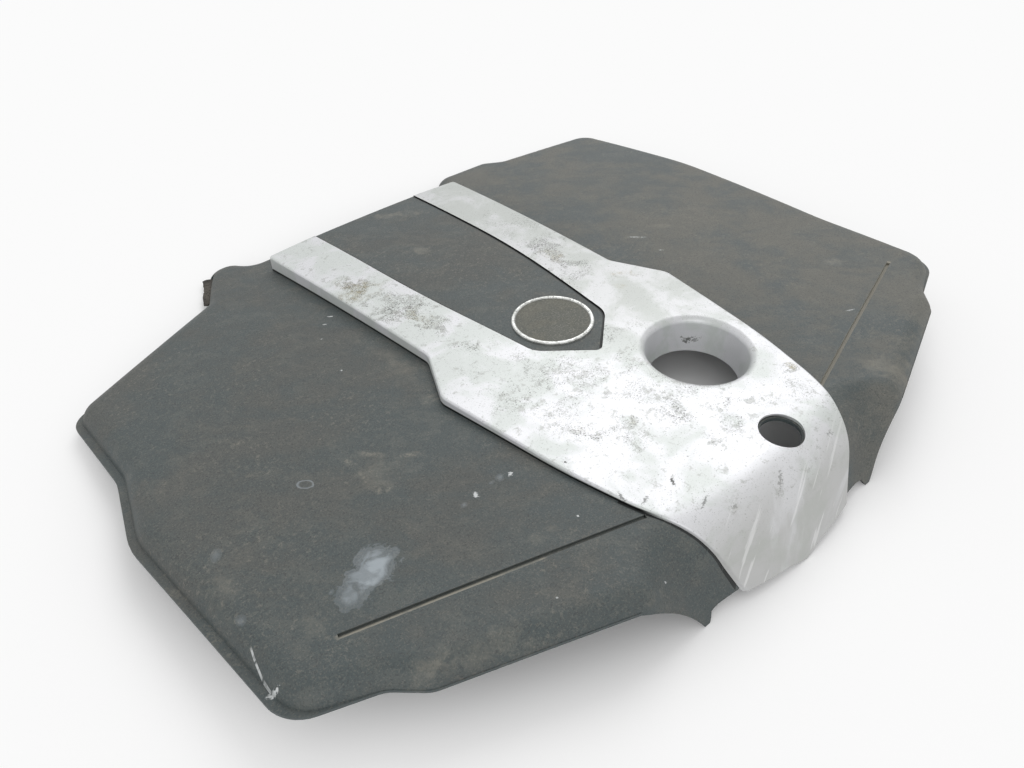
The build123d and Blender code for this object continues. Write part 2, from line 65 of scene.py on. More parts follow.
# Marks on the plastic as (x, y, half length, half width, turn in degrees, strength), lengths in metres.
LIMESCALE = [
    (-0.2550, -0.1430, 0.0165, 0.0155, 20, 0.95),
    (-0.2660, -0.1466, 0.0165, 0.0140, 25, 0.95),
    (-0.2790, -0.1512, 0.0115, 0.0095, 30, 0.60),
    (-0.2520, -0.1330, 0.0035, 0.0016, 40, 0.38),
    (-0.2870, -0.1405, 0.0024, 0.0018, 20, 0.38),
    (-0.3261, -0.0621, 0.0062, 0.0036, 60, 0.38),
    (-0.3382, -0.1197, 0.0050, 0.0045, 0, 0.38),
    (-0.1473, -0.1384, 0.0044, 0.0034, 60, 0.38),
    (-0.1820, -0.1415, 0.0028, 0.0024, 0, 0.38),
    (-0.1556, -0.1384, 0.0028, 0.0020, 0, 0.38),
]
PALE_DROPS = [
    (-0.1709, -0.1402, 0.0030, 0.0022, 60, 0.95),
    (-0.1403, -0.1410, 0.0022, 0.0019, 0, 0.95),
    (-0.3466, -0.1705, 0.0042, 0.0018, -30, 0.95),
    (-0.1230, 0.1247, 0.0022, 0.0008, -40, 0.95),
    (-0.1334, 0.1170, 0.0018, 0.0008, -40, 0.65),
    (-0.1475, 0.0989, 0.0014, 0.0011, 0, 0.95),
    (-0.1598, 0.0468, 0.0013, 0.0011, 0, 0.95),
    (-0.1326, -0.2009, 0.0010, 0.0010, 0, 0.95),
    (-0.1199, -0.2688, 0.0010, 0.0009, 0, 0.65),
    (-0.1875, -0.2390, 0.0009, 0.0009, 0, 0.65),
    (0.1705, 0.0245, 0.0088, 0.0011, -46, 0.65),
    (0.1668, -0.0098, 0.0024, 0.0010, -45, 0.65),
    (0.2052, -0.1901, 0.0040, 0.0008, -20, 0.65),
]
DRIED_RING = (-0.2498, -0.0481, 0.0062, 0.0044, -45)
TAN_SCUFFS = [
    (-0.3047, -0.1563, 0.0130, 0.0100, -43, 0.50),
    (-0.3350, -0.0900, 0.0150, 0.0110, 60, 0.50),
    (-0.2690, -0.2225, 0.0230, 0.0120, -40, 0.80),
    (-0.2408, -0.2360, 0.0400, 0.0130, -18, 0.50),
    (-0.1615, -0.1990, 0.0130, 0.0100, -30, 0.80),
    (-0.2055, -0.0760, 0.0240, 0.0180, -44, 0.50),
    (0.2637, -0.1345, 0.0130, 0.0080, -42, 0.80),
    (0.1590, -0.2551, 0.0300, 0.0190, -35, 0.80),
    (0.2100, 0.0220, 0.0200, 0.0070, -46, 0.80),
    (0.0250, 0.2240, 0.0360, 0.0080, -40, 0.80),
    (-0.0108, 0.2530, 0.0240, 0.0080, -40, 0.50),
    (-0.0097, 0.1456, 0.0170, 0.0130, -49, 0.80),
    (-0.1240, 0.0300, 0.0600, 0.0100, -86, 0.50),
    (-0.1290, -0.0400, 0.0160, 0.0090, -60, 0.80),
]
# Thin rubbed lines of tan dust, as (x, y) from one end to the other.
RUBBED_LINES = [
    ((-0.2164, -0.0436), (-0.2147, -0.0600)),
    ((-0.2147, -0.0600), (-0.2177, -0.0826)),
    ((-0.2177, -0.0826), (-0.2155, -0.0945)),
    ((-0.2155, -0.0945), (-0.2062, -0.0911)),
    ((-0.2082, -0.0445), (-0.1913, -0.0673)),
    ((-0.1913, -0.0673), (-0.1695, -0.0827)),
    ((-0.2116, -0.0631), (-0.2069, -0.0821)),
    ((-0.2729, 0.0263), (-0.2575, 0.0266)),
    ((0.2560, -0.1270), (0.2710, -0.1420)),
]
RUBBED_HALF_WIDTH = 0.0038
# The gap round the centre panel, painted dark as shade and dirt, as (x, y) of its right half from the
# rear to the point.
CENTRE_SEAM = (
    (0.0633, 0.2970),
    (0.0590, 0.1355),
    (0.0562, 0.0786),
    (0.0506, 0.0219),
    (0.0420, -0.0482),
    (0.0396, -0.0558),
    (0.0347, -0.0620),
    (0.0020, -0.0900),
)
# The gap along the trim's edge at its nose, painted dark as shade and dirt, as (x, y) of the right side
# from the rear to the front.
NOSE_SEAM = (
    (0.1040, -0.2100),
    (0.0983, -0.2300),
    (0.0897, -0.2500),
    (0.0799, -0.2700),
    (0.0733, -0.2800),
    (0.0660, -0.2890),
)
SEAM_HALF_WIDTH = 0.0018
# Scratches on the plastic as (x, y) from one end to the other.
CORNER_SCRATCHES = [
    ((-0.3425, -0.1385), (-0.3450, -0.1480)),
    ((-0.3450, -0.1480), (-0.3470, -0.1590)),
    ((-0.3470, -0.1590), (-0.3472, -0.1690)),
]
SCRATCH_HALF_WIDTH = 0.0007
# The long grooves of the two side panels, as (x, y) from the outer end to the inner one.
LEFT_GROOVE = ((-0.3040, -0.1693), (-0.0980, -0.2321))
RIGHT_GROOVE = ((0.3040, -0.1693), (0.0980, -0.2321))
# Dust on the lower lip of the left groove's outer stretch.
LEFT_GROOVE_LIP = ((-0.3040, -0.1704), (-0.1704, -0.2112))
GROOVE_HALF_WIDTH = 0.0016
LIP_HALF_WIDTH = 0.0016

# The domed side panels: the height of their crest, how far it lies ahead of the middle, and how they
# fall from it: by 8 mm at 385 mm from the middle, and along a radius of 4.18 m.
PANEL_TOP = 0.0629
PANEL_CREST = 0.3545
PANEL_CROWN_ACROSS = 0.008 / 0.385**2
PANEL_CROWN_ALONG = 0.5 / 4.180

# The filler well's rim as (x, y, half length, half width, turn in degrees).
FILLER_WELL = (0.0590, -0.1425, 0.0500, 0.0500, 0)

# Grime on the silver trim, in the same form as the marks on the plastic.
TRIM_GRIME = [
    (-0.0935, 0.1250, 0.0280, 0.0240, -48, 0.95),
    (-0.0880, 0.0960, 0.0340, 0.0260, -60, 0.75),
    (-0.0800, 0.0560, 0.0330, 0.0240, -46, 0.95),
    (-0.0704, 0.0298, 0.0240, 0.0160, -46, 0.75),
    (0.0780, 0.0640, 0.0340, 0.0240, -70, 0.95),
    (0.0692, 0.0290, 0.0280, 0.0200, -70, 0.95),
    (0.0630, 0.0029, 0.0240, 0.0160, -60, 0.75),
    (0.0878, 0.1059, 0.0500, 0.0260, -85, 0.50),
    (0.0985, -0.0300, 0.0230, 0.0170, -42, 0.50),
    (0.0242, -0.0850, 0.0330, 0.0230, -50, 0.50),
    (0.0040, -0.1100, 0.0260, 0.0180, -42, 0.50),
    (-0.0775, -0.0160, 0.0150, 0.0100, -45, 0.75),
    (-0.0745, -0.0330, 0.0150, 0.0110, -45, 0.50),
    (-0.0695, -0.1490, 0.0180, 0.0150, -43, 0.75),
    (-0.0774, -0.1304, 0.0240, 0.0150, -43, 0.50),
    (-0.0385, -0.1661, 0.0150, 0.0130, -42, 0.75),
    (-0.0137, -0.1811, 0.0200, 0.0120, -42, 0.75),
    (0.0069, -0.1876, 0.0240, 0.0110, -41, 0.75),
    (0.0254, -0.1964, 0.0240, 0.0100, -41, 0.75),
    (0.0090, -0.2173, 0.0150, 0.0110, 40, 0.50),
    (-0.0113, -0.2139, 0.0130, 0.0100, 40, 0.50),
    (-0.0547, -0.1820, 0.0140, 0.0110, -42, 0.50),
    (0.0978, -0.2034, 0.0120, 0.0110, -40, 0.75),
    (0.0860, -0.2290, 0.0220, 0.0160, -40, 0.50),
    (0.0000, -0.1600, 0.0800, 0.0360, -40, 0.50),
    (-0.0500, -0.0900, 0.0600, 0.0500, -40, 0.50),
]
# Dull rubbed patches on the trim's nose.
NOSE_SMEARS = [
    (-0.0400, -0.2900, 0.0240, 0.0110, 25, 0.80),
    (0.0000, -0.2950, 0.0220, 0.0080, -10, 0.50),
    (-0.0620, -0.2660, 0.0240, 0.0100, 10, 0.80),
    (0.0300, -0.2720, 0.0300, 0.0070, -15, 0.50),
]
# Oil stains, and then single dark flecks, on the trim.
TRIM_BROWN = [
    (-0.0950, 0.1230, 0.0280, 0.0210, -48, 1.00),
    (-0.0800, 0.0500, 0.0200, 0.0140, -46, 0.60),
    (0.0985, -0.0250, 0.0130, 0.0110, -42, 1.00),
    (0.0803, -0.0364, 0.0090, 0.0060, -42, 0.60),
    (0.0700, 0.0420, 0.0150, 0.0120, -60, 0.60),
    (0.0978, -0.2034, 0.0070, 0.0055, -40, 1.00),
    (-0.0695, -0.1480, 0.0110, 0.0090, -43, 0.60),
    (-0.0385, -0.1661, 0.0080, 0.0070, -42, 0.60),
]
TRIM_SPECKS = [
    (-0.1077, -0.1626, 0.0014, 0.0011, 0, 0.90),
    (-0.0660, -0.2243, 0.0042, 0.0013, 60, 0.90),
    (-0.0643, -0.2504, 0.0050, 0.0013, 20, 0.60),
    (-0.0923, -0.2232, 0.0048, 0.0013, 20, 0.60),
    (-0.1016, -0.2100, 0.0046, 0.0012, 70, 0.60),
    (-0.0495, -0.2646, 0.0038, 0.0018, 20, 0.60),
    (-0.0053, -0.2701, 0.0070, 0.0018, 40, 0.60),
    (0.0618, -0.2654, 0.0038, 0.0018, -20, 0.60),
    (0.0851, -0.1129, 0.0050, 0.0004, -41, 0.90),
    (0.0890, -0.1168, 0.0050, 0.0003, -49, 0.60),
]

# Where an effect starts and where it is full, as two places across (x), along (y) or up, in metres.
TAN_ACROSS = (0.0, 0.24)
DULL_ALONG = (-0.20, 0.05)
FILM_ACROSS = (-0.03, 0.06)
FILM_ALONG = (-0.20, -0.04)
NOSE_ALONG = (-0.245, -0.285)
FOOT_HEIGHT = (0.0026, 0.0018)
FOOT_ALONG = (-0.245, -0.225)
GAP_ACROSS = (0.068, 0.066)
GAP_ALONG = (-0.0945, -0.0925)
# How far up a face looks where the bare underside's colour gives way to the upper one.
UNDERSIDE = (-0.5, -0.2)

# Shades within the finishes that have no setting of their own.
# Painted shade and dirt in the gaps between the shell and the trim.
SEAM_SHADE_BLACK = (0.008, 0.009, 0.009)
# Painted shade, with dirt at the foot, where the trim meets the shell and in the gap round the centre
# panel.
GAP_SHADE_BLACK = (0.006, 0.006, 0.006)
FLAKE_GREY = (0.42, 0.43, 0.43)
SMUDGE_GREY = (0.36, 0.37, 0.35)
# Smears and painted shade on the trim's nose.
NOSE_SMEAR_AND_SHADE_GREY = (0.40, 0.40, 0.38)
HAIR_WHITE = (0.84, 0.84, 0.84)
RING_DULL = (0.34, 0.345, 0.33)
RING_PIT = (0.12, 0.12, 0.11)
BADGE_FILM = (0.15, 0.145, 0.115)
BADGE_DUST = (0.22, 0.21, 0.175)
BADGE_PIT = (0.04, 0.04, 0.035)
RUBBER_BLOOM = (0.06, 0.06, 0.058)
FOAM_RIDGE = (0.115, 0.105, 0.092)
FOAM_CELL = (0.018, 0.017, 0.016)
PLASTIC_IOR = 1.45

MOUNT_COUNT = 4
FOAM_CELLS_PER_METRE = 420.0
MERGE_DISTANCE = 1e-6
EASE_FACTOR = 0.5
PITS_PER_LUMP = 4
HOLLOW_DETAIL = 2

# The camera's sensor in millimetres, and the stage in metres.
SENSOR_WIDTH = 36
NEAR_CLIP = 0.01
FLOOR_HALF_SIZE = 8
FLOOR_DROP = 0.0004
# Where the floor's painted light starts and is full, in half sizes of the cover: it lifts the floor
# towards white and fades the cover's shadow.
GLOW_REACH = (0.90, 1.20)


class EngineCoverFinish(bpy.types.PropertyGroup):
    """Colours of the cover's finishes."""

    shell_grey: FloatVectorProperty(
        name="Shell grey",
        description="Clean colour of the moulded shell",
        subtype="COLOR",
        size=3,
        min=0,
        max=1,
        default=(0.061, 0.076, 0.077),
    )
    shell_dust: FloatVectorProperty(
        name="Shell dust",
        description="Colour of the dust film on the shell",
        subtype="COLOR",
        size=3,
        min=0,
        max=1,
        default=(0.087, 0.092, 0.087),
    )
    shell_under: FloatVectorProperty(
        name="Shell underside",
        description="Colour of the shell where no dust settles",
        subtype="COLOR",
        size=3,
        min=0,
        max=1,
        default=(0.030, 0.032, 0.034),
    )
    limescale: FloatVectorProperty(
        name="Limescale",
        description="Colour of the dried water stains",
        subtype="COLOR",
        size=3,
        min=0,
        max=1,
        default=(0.345, 0.385, 0.415),
    )
    pale_drop: FloatVectorProperty(
        name="Pale drops",
        description="Colour of the small pale drops, flecks and scratches on the shell",
        subtype="COLOR",
        size=3,
        min=0,
        max=1,
        default=(0.60, 0.62, 0.62),
    )
    groove_dust: FloatVectorProperty(
        name="Groove dust",
        description="Colour of the dust packed in the panel grooves and scuffs",
        subtype="COLOR",
        size=3,
        min=0,
        max=1,
        default=(0.250, 0.236, 0.195),
    )
    trim_silver: FloatVectorProperty(
        name="Trim silver",
        description="Colour of the trim's silver paint",
        subtype="COLOR",
        size=3,
        min=0,
        max=1,
        default=(0.680, 0.685, 0.705),
    )
    trim_dull: FloatVectorProperty(
        name="Dull trim",
        description="Colour of the trim's paint where it is dull and greenish",
        subtype="COLOR",
        size=3,
        min=0,
        max=1,
        default=(0.590, 0.618, 0.603),
    )
    trim_raw: FloatVectorProperty(
        name="Trim underside",
        description="Colour of the trim's unpainted underside",
        subtype="COLOR",
        size=3,
        min=0,
        max=1,
        default=(0.040, 0.045, 0.052),
    )
    trim_grime: FloatVectorProperty(
        name="Trim grime",
        description="Colour of the grime specks on the trim",
        subtype="COLOR",
        size=3,
        min=0,
        max=1,
        default=(0.115, 0.118, 0.108),
    )
    trim_brown: FloatVectorProperty(
        name="Trim oil stain",
        description="Colour of the oil stains on the trim",
        subtype="COLOR",
        size=3,
        min=0,
        max=1,
        default=(0.350, 0.310, 0.195),
    )
    ring_metal: FloatVectorProperty(
        name="Badge ring",
        description="Colour of the badge's bright ring",
        subtype="COLOR",
        size=3,
        min=0,
        max=1,
        default=(0.62, 0.63, 0.61),
    )
    badge_face: FloatVectorProperty(
        name="Badge face",
        description="Colour of the badge's plain disc",
        subtype="COLOR",
        size=3,
        min=0,
        max=1,
        default=(0.074, 0.078, 0.062),
    )
    mount_rubber: FloatVectorProperty(
        name="Mount rubber",
        description="Colour of the rubber mounts",
        subtype="COLOR",
        size=3,
        min=0,
        max=1,
        default=(0.022, 0.022, 0.023),
    )
    foam_brown: FloatVectorProperty(
        name="Foam",
        description="Colour of the foam mats",
        subtype="COLOR",
        size=3,
        min=0,
        max=1,
        default=(0.060, 0.056, 0.052),
    )


class EngineCoverFoam(bpy.types.PropertyGroup):
    """Sizes of the foam mats' surface."""

    cell: FloatProperty(
        name="Mesh cell",
        description="Size of the cells that the mats are rebuilt from",
        unit="LENGTH",
        min=0.001,
        default=0.0030,
    )
    lump: FloatProperty(
        name="Lump size",
        description="Width of the lumps on the mats",
        unit="LENGTH",
        min=0.001,
        default=0.018,
    )
    sink: FloatProperty(
        name="Lump depth",
        description="How far the hollows between the lumps sink in",
        unit="LENGTH",
        min=0,
        default=0.0026,
    )
    pit: FloatProperty(
        name="Pit depth",
        description="How deep the torn pits are",
        unit="LENGTH",
        min=0,
        default=0.0016,
    )
    smoothing: IntProperty(
        name="Smoothing",
        description="How often the cut edges are smoothed",
        min=0,
        default=4,
    )


class EngineCoverStage(bpy.types.PropertyGroup):
    """The camera, the lamps and the floor."""

    camera_place: FloatVectorProperty(
        name="Camera place",
        description="Where the camera stands",
        subtype="TRANSLATION",
        size=3,
        default=(-0.4149, -0.4573, 0.5094),
    )
    camera_aim: FloatVectorProperty(
        name="Camera aim",
        description="Direction that the camera looks in",
        subtype="DIRECTION",
        size=3,
        default=(0.4936, 0.5649, -0.6612),
    )
    lens: FloatProperty(
        name="Lens",
        description="Focal length in millimetres",
        unit="CAMERA",
        min=1,
        default=30.86,
    )
    sky_strength: FloatProperty(
        name="Sky strength",
        description="Brightness of the even light from all round",
        min=0,
        default=0.71,
    )
    window_strength: FloatProperty(
        name="Window strength",
        description="Strength of the soft light from behind and the right",
        min=0,
        default=0.81,
    )
    lamp_angle: FloatProperty(
        name="Lamp angle",
        description="How wide the soft light and the weak one are in the sky",
        subtype="ANGLE",
        unit="ROTATION",
        min=0,
        default=0.66,
    )
    window_aim: FloatVectorProperty(
        name="Window aim",
        description="Direction that the soft light shines in",
        subtype="DIRECTION",
        size=3,
        default=(-0.568, -0.411, -0.714),
    )
    fill_strength: FloatProperty(
        name="Fill strength",
        description="Strength of the weak light from the front left",
        min=0,
        default=0.58,
    )
    fill_aim: FloatVectorProperty(
        name="Fill aim",
        description="Direction that the weak light shines in",
        subtype="DIRECTION",
        size=3,
        default=(0.60, 0.62, -0.50),
    )
    floor_colour: FloatVectorProperty(
        name="Floor",
        description="Colour of the floor",
        subtype="COLOR",
        size=3,
        min=0,
        max=1,
        default=(0.95, 0.95, 0.95),
    )
    floor_glow: FloatProperty(
        name="Floor glow",
        description="How far the floor round the cover is lifted towards white",
        subtype="FACTOR",
        min=0,
        max=1,
        default=0.44,
    )


class Finish:
    """Builds the nodes of one procedural finish, in the object's own coordinates."""

    def __init__(self, name):
        self.material = bpy.data.materials.new(name)
        self.material.use_nodes = True
        self.tree = self.material.node_tree
        self.tree.nodes.clear()
        self.shader = self.tree.nodes.new("ShaderNodeBsdfPrincipled")
        output = self.tree.nodes.new("ShaderNodeOutputMaterial")
        self.tree.links.new(self.shader.outputs["BSDF"], output.inputs["Surface"])
        self.place = self.tree.nodes.new("ShaderNodeTexCoord").outputs["Object"]
        self.axes = self.split(self.place)
        flat = {0: self.place, 1: (1, 1, 0)}
        self.flat = self.add("ShaderNodeVectorMath", flat, operation="MULTIPLY").outputs[0]

    def feed(self, socket, value):
        """Links a socket to another one, or sets its own number, vector or colour."""
        if isinstance(value, bpy.types.NodeSocket):
            self.tree.links.new(value, socket)
        elif socket.type == "RGBA":
            socket.default_value = (*value, 1)
        else:
            socket.default_value = value

    def add(self, kind, inputs, **settings):
        """One node with its settings, and its inputs fed by name or by number."""
        node = self.tree.nodes.new(kind)
        for name, value in settings.items():
            setattr(node, name, value)
        for name, value in inputs.items():
            self.feed(node.inputs[name], value)
        return node

    def set(self, **inputs):
        """Feeds the shader's inputs, whose names have _ here in place of spaces."""
        for name, value in inputs.items():
            self.feed(self.shader.inputs[name.replace("_", " ")], value)

    def split(self, vector):
        """The X, Y and Z of a vector."""
        return self.add("ShaderNodeSeparateXYZ", {"Vector": vector}).outputs

    def math(self, operation, first, second=0.0):
        node = self.add("ShaderNodeMath", {0: first, 1: second}, operation=operation)
        return node.outputs[0]

    def times(self, first, second):
        return self.math("MULTIPLY", first, second)

    def plus(self, first, second):
        return self.math("ADD", first, second)

    def minus(self, first, second):
        return self.math("SUBTRACT", first, second)

    def size(self, value):
        """A value without its sign."""
        return self.math("ABSOLUTE", value)

    def most(self, *values):
        """The largest of several values."""
        return self.fold("MAXIMUM", values)

    def fold(self, operation, values):
        """Several values joined by one operation, two at a time."""
        total, *others = values
        for value in others:
            total = self.math(operation, total, value)
        return total

    def step(self, value, low, high, start=0.0, end=1.0):
        """Eases from start to end while the value goes from low to high."""
        inputs = {"Value": value, "From Min": low, "From Max": high, "To Min": start, "To Max": end}
        node = self.add("ShaderNodeMapRange", inputs, interpolation_type="SMOOTHSTEP")
        return node.outputs["Result"]

    def mix(self, share, first, second):
        """The first colour with that share of the second one over it."""
        inputs = {0: share, 6: first, 7: second}
        return self.add("ShaderNodeMix", inputs, data_type="RGBA").outputs[2]

    def noise(self, scale, detail=4.0, roughness=0.55, distortion=0.0, where=None):
        """Cloudy noise round 0.5, with about that many lumps in a metre."""
        inputs = {
            "Vector": where or self.place,
            "Scale": scale,
            "Detail": detail,
            "Roughness": roughness,
            "Distortion": distortion,
        }
        return self.add("ShaderNodeTexNoise", inputs).outputs["Fac"]

    def mapped(self, where, turn, stretch, centre=(0, 0, 0)):
        """Coordinates measured from a centre, turned about Z and stretched."""
        inputs = {"Vector": where, "Location": centre, "Rotation": (0, 0, turn), "Scale": stretch}
        return self.add("ShaderNodeMapping", inputs, vector_type="TEXTURE").outputs["Vector"]

    def turned(self, turn, stretch):
        """Coordinates turned about Z by that many degrees and stretched."""
        return self.mapped(self.place, radians(turn), stretch)

    def mirrored(self):
        """Coordinates seen from above, with the left half folded onto the right one."""
        folded = {"X": self.size(self.axes["X"]), "Y": self.axes["Y"]}
        return self.add("ShaderNodeCombineXYZ", folded).outputs[0]

    def reach(self, x, y, half_length, half_width, turn):
        """How far out of a mark a point is, seen from above: 0 at its middle and 1 at its edge."""
        local = self.mapped(self.flat, radians(turn), (half_length, half_width, 1), (x, y, 0))
        return self.add("ShaderNodeVectorMath", {0: local}, operation="LENGTH").outputs["Value"]

    def ragged(self, scale, reach):
        """Noise from -reach to reach, to move the edges of marks."""
        rough = self.noise(scale, detail=5, roughness=0.62, distortion=0.5)
        return self.step(rough, 0.37, 0.63, start=-reach, end=reach)

    def marks(self, rows, ragged, soft):
        """The strongest of several marks at each point, with ragged edges that fade over soft."""
        levels = {}
        for *mark, strength in rows:
            levels.setdefault(strength, []).append(self.reach(*mark))
        shown = []
        for strength in sorted(levels):
            nearest = self.fold("MINIMUM", levels[strength])
            inside = self.minus(self.plus(1.0, ragged), nearest)
            shown.append(self.step(inside, 0.0, soft, end=strength))
        return self.most(*shown)

    def strokes(self, lines, half_width, soft, where=None):
        """Straight strokes between pairs of points, seen from above.

        Their edges fade over soft, a share of the half length and of the half width.
        """
        shown = []
        for start, end in lines:
            run = Vector(end) - Vector(start)
            middle = (Vector(start) + Vector(end)) / 2
            turn = run.angle_signed(Vector((1, 0)))
            stretch = (run.length / 2, half_width, 1)
            local = self.mapped(where or self.place, turn, stretch, (middle.x, middle.y, 0))
            parts = self.split(local)
            inside = self.minus(1.0, self.most(self.size(parts["X"]), self.size(parts["Y"])))
            shown.append(self.step(inside, 0.0, soft))
        return self.most(*shown)

    def facing_up(self, low=0.05, high=0.45):
        """1 on faces that look upwards, where dust and drops can settle."""
        normal = self.tree.nodes.new("ShaderNodeNewGeometry").outputs["Normal"]
        return self.step(self.split(normal)["Z"], low, high)

    def bump(self, height, strength, distance):
        """Roughens the surface by a noise."""
        inputs = {"Height": height, "Strength": strength, "Distance": distance}
        self.set(Normal=self.add("ShaderNodeBump", inputs).outputs["Normal"])


def shell_plastic(look):
    """Grained grey plastic with a dust film, limescale, scuffs, packed grooves and painted shade in the
    gaps by the trim.
    """
    f = Finish("shell_plastic_weathered")
    up = f.facing_up()
    clouds = f.noise(9, detail=5, roughness=0.66, distortion=0.5)
    wiped = f.turned(-40, (1.7, 1, 1))
    wiped = f.noise(22, detail=7, roughness=0.70, distortion=0.4, where=wiped)
    film = f.plus(f.times(clouds, 0.5), f.times(wiped, 0.5))
    dusty = f.times(f.step(film, 0.43, 0.60), up)
    colour = f.mix(dusty, look.shell_grey, look.shell_dust)
    tan = f.times(f.step(f.axes["X"], *TAN_ACROSS, end=0.26), f.step(film, 0.44, 0.57))
    colour = f.mix(f.times(tan, up), colour, look.groove_dust)
    smears = f.turned(-42, (1.4, 1, 1))
    smears = f.noise(55, detail=8, roughness=0.78, distortion=0.4, where=smears)
    smears = f.times(f.step(smears, 0.50, 0.59, end=0.10), up)
    colour = f.mix(smears, colour, look.groove_dust)
    colour = f.mix(shell_grain(f, up), colour, look.groove_dust)
    pits = f.step(f.noise(720, detail=3, roughness=0.7), 0.47, 0.36, end=0.50)
    colour = f.mix(pits, colour, look.shell_under)
    colour = f.mix(shell_scuffs(f), colour, look.groove_dust)
    colour = packed_grooves(f, look, colour)
    # Painted shade and dirt in the gaps by the trim.
    colour = f.mix(shell_seam_shade_and_dirt(f), colour, SEAM_SHADE_BLACK)
    colour = f.mix(f.times(limescale(f), up), colour, look.limescale)
    colour = f.mix(f.times(pale_flecks(f), up), colour, look.pale_drop)
    colour = f.mix(f.facing_up(*UNDERSIDE), look.shell_under, colour)
    f.set(Base_Color=colour, IOR=PLASTIC_IOR)
    f.set(Roughness=f.step(film, 0.42, 0.58, start=0.54, end=0.66))
    f.bump(f.noise(1100, detail=2, roughness=0.6), strength=0.35, distance=0.0004)
    return f.material


def shell_grain(f, up):
    """Share of fine dust specks on the plastic, thicker in some places than in others."""
    fine = f.step(f.noise(800, detail=3, roughness=0.7), 0.53, 0.63, end=0.24)
    coarse = f.step(f.noise(260, detail=6, roughness=0.75), 0.556, 0.612, end=0.36)
    patchy = f.step(f.noise(14, detail=4, roughness=0.6), 0.42, 0.60)
    return f.times(f.most(fine, f.times(coarse, patchy)), up)


def shell_scuffs(f):
    """Share of tan dust in soft patches and in thin broken lines."""
    patches = f.marks(TAN_SCUFFS, f.ragged(55, reach=0.5), soft=1.2)
    mottled = f.noise(170, detail=6, roughness=0.72, distortion=0.5)
    patches = f.times(patches, f.step(mottled, 0.42, 0.58, start=0.26, end=0.54))
    lines = f.strokes(RUBBED_LINES, RUBBED_HALF_WIDTH, soft=0.9)
    broken = f.noise(330, detail=7, roughness=0.75, distortion=0.6)
    lines = f.times(lines, f.step(broken, 0.46, 0.57, start=0.08, end=0.60))
    return f.most(patches, lines)


def packed_grooves(f, look, colour):
    """The colour with dust packed into the grooves, most in the right one and on the left one's lip."""
    right = f.strokes([RIGHT_GROOVE], GROOVE_HALF_WIDTH, soft=0.006)
    colour = f.mix(f.times(right, 0.92), colour, look.groove_dust)
    left = f.strokes([LEFT_GROOVE], GROOVE_HALF_WIDTH, soft=0.006)
    colour = f.mix(f.times(left, 0.12), colour, look.groove_dust)
    lip = f.strokes([LEFT_GROOVE_LIP], LIP_HALF_WIDTH, soft=0.04)
    thick = f.step(f.noise(60), 0.42, 0.56, start=0.45, end=0.9)
    return f.mix(f.times(lip, thick), colour, look.groove_dust)


def shell_seam_shade_and_dirt(f):
    """Share of the painted shade and dirt in the gaps between the plastic and the trim, alike on both
    sides.
    """
    lines = [*zip(CENTRE_SEAM, CENTRE_SEAM[1:]), *zip(NOSE_SEAM, NOSE_SEAM[1:])]
    return f.times(f.strokes(lines, SEAM_HALF_WIDTH, soft=0.01, where=f.mirrored()), 0.9)


def limescale(f):
    """Share of dried water: strongest in the middle of a stain, with a faint rim, and one faint ring."""
    wobble = f.ragged(60, reach=0.26)
    stain = f.marks(LIMESCALE, wobble, soft=0.95)
    rim = f.marks(LIMESCALE, wobble, soft=0.14)
    rim = f.times(rim, f.step(stain, 0.55, 0.10, end=0.26))
    body = f.noise(70, detail=5, roughness=0.60, distortion=0.4)
    stain = f.times(stain, f.step(body, 0.40, 0.60, start=0.62, end=1.0))
    inside = f.plus(f.minus(1.0, f.reach(*DRIED_RING)), f.times(wobble, 0.6))
    ring = f.times(f.step(inside, -0.05, 0.12, end=0.45), f.step(inside, 0.45, 0.15))
    return f.most(f.most(stain, rim), ring)


def pale_flecks(f):
    """Share of pale drops, and of the scratches on the front left corner."""
    drops = f.marks(PALE_DROPS, f.ragged(420, reach=0.45), soft=0.5)
    scratch = f.strokes(CORNER_SCRATCHES, SCRATCH_HALF_WIDTH, soft=0.3)
    scratch = f.times(scratch, f.step(f.noise(300), 0.36, 0.50, start=0.4, end=0.8))
    return f.most(drops, scratch)


